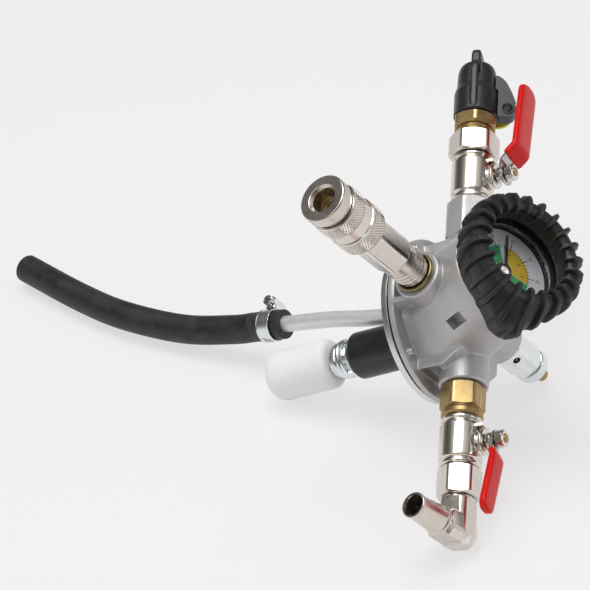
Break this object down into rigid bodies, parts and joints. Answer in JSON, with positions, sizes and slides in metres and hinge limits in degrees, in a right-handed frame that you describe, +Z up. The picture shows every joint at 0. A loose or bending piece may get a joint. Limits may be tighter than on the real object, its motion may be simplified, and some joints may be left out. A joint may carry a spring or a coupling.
{
  "type": "fluid suction pump head",
  "caption": "Tank head of a pneumatic fluid suction pump with a booted gauge, ball valves, air coupler, relief valve, float valve and suction hose.",
  "frame": {"origin": "centre of the flange's seat plane, on the flange axis, at the underside of the clamp plate", "axes": "+Z up the flange axis to the gauge, +X along the outlet port, -X along the drain port, -Y along the air coupler, +Y along the relief valve"},
  "size_m": [0.2616, 0.1881, 0.3312],
  "materials": {
    "cast_aluminium": "as cast, fine grain, satin",
    "machined_aluminium": "machined, satin",
    "bright_aluminium": "drawn tube, semi-bright",
    "nickel_plate": "nickel plated, bright",
    "brass": "machined, satin",
    "zinc_plate": "zinc plated, bright",
    "steel": "polished",
    "black_steel": "black, semi-gloss",
    "black_rubber": "matt",
    "black_plastic": "satin",
    "yellow_plastic": "satin",
    "red_dip_coat": "dip coated, gloss",
    "white_float_plastic": "milky",
    "white_seal": "smooth",
    "dial_white": "printed dial",
    "clear_window": "clear"
  },
  "bodies": {
    "head": {"head_casting": "cast_aluminium", "clamp_plate": "machined_aluminium", "flange_gasket": "black_rubber", "plate_screw_1": "zinc_plate", "plate_screw_2": "zinc_plate", "plate_screw_3": "zinc_plate", "gauge_case": "black_plastic", "gauge_stem": "brass", "gauge_dial": "dial_white", "gauge_bezel": "black_steel", "gauge_window": "clear_window", "gauge_boot": "black_rubber", "drain_adapter": "cast_aluminium", "outlet_adapter": "brass", "drain_nipple": "brass", "outlet_elbow": "nickel_plate", "coupler_body": "nickel_plate", "coupler_nose": "nickel_plate", "sleeve_spring": "steel", "poppet_spring": "steel", "relief_body": "zinc_plate", "relief_cap": "zinc_plate", "relief_spring": "steel", "dip_tube": "bright_aluminium", "float_sleeve": "black_plastic", "float_bush": "zinc_plate", "hose_cuff": "black_rubber", "suction_hose": "black_rubber", "clamp_band": "zinc_plate", "clamp_screw": "steel", "drain_valve_body": "nickel_plate", "drain_valve_end": "nickel_plate", "drain_seat_inner": "white_seal", "drain_seat_outer": "white_seal", "drain_gland": "nickel_plate", "outlet_valve_body": "nickel_plate", "outlet_valve_end": "nickel_plate", "outlet_seat_inner": "white_seal", "outlet_seat_outer": "white_seal", "outlet_gland": "nickel_plate"},
    "drain_handle": {"drain_valve_ball": "steel", "drain_valve_stem": "brass", "drain_lever": "steel", "drain_lever_grip": "red_dip_coat", "drain_lever_nut": "nickel_plate"},
    "outlet_handle": {"outlet_valve_ball": "steel", "outlet_valve_stem": "brass", "outlet_lever": "steel", "outlet_lever_grip": "red_dip_coat", "outlet_lever_nut": "nickel_plate"},
    "coupler_collar": {"coupler_sleeve": "nickel_plate"},
    "coupler_plunger": {"coupler_poppet": "brass"},
    "relief_pull": {"relief_pin": "brass"},
    "float_unit": {"float": "white_float_plastic", "float_rod": "steel"},
    "gauge_needle": {"gauge_pointer": "black_steel"},
    "cap_unit": {"dust_cap": "black_plastic", "cap_strap": "black_plastic", "cap_ring": "yellow_plastic"}
  },
  "joints": [
    {"name": "drain_lever_turn", "type": "hinge", "parent": "head", "child": "drain_handle", "pos_m": [-0.0715, 0, 0.0225], "axis": [0, 0.0698, 0.9976], "range_deg": [-82, 8]},
    {"name": "outlet_lever_turn", "type": "hinge", "parent": "head", "child": "outlet_handle", "pos_m": [0.0676, 0, 0.0225], "axis": [0, 0.0698, 0.9976], "range_deg": [-73.5, 16.5]},
    {"name": "coupler_sleeve_slide", "type": "slide", "parent": "head", "child": "coupler_collar", "axis": [0, 1, 0], "range_m": [0, 0.004], "stiffness_N_per_m": 1500, "springref_m": -0.004, "deforming": ["sleeve_spring"]},
    {"name": "coupler_poppet_slide", "type": "slide", "parent": "head", "child": "coupler_plunger", "axis": [0, 1, 0], "range_m": [0, 0.004], "stiffness_N_per_m": 1000, "springref_m": -0.004, "deforming": ["poppet_spring"]},
    {"name": "relief_pin_slide", "type": "slide", "parent": "head", "child": "relief_pull", "axis": [0, 1, 0], "range_m": [0, 0.0025], "stiffness_N_per_m": 1500, "springref_m": -0.003, "deforming": ["relief_spring"]},
    {"name": "float_slide", "type": "slide", "parent": "head", "child": "float_unit", "axis": [0, 0, -1], "range_m": [0, 0.006]},
    {"name": "gauge_pointer_turn", "type": "hinge", "parent": "head", "child": "gauge_needle", "pos_m": [-0.004, -0.02098, 0.05521], "axis": [-0.0799, -0.4195, 0.9042], "range_deg": [-42, 46], "stiffness_Nm_per_rad": 0.0004},
    {"name": "dust_cap_pull", "type": "slide", "parent": "head", "child": "cap_unit", "axis": [-1, 0, 0], "range_m": [0, 0.016]}
  ]
}
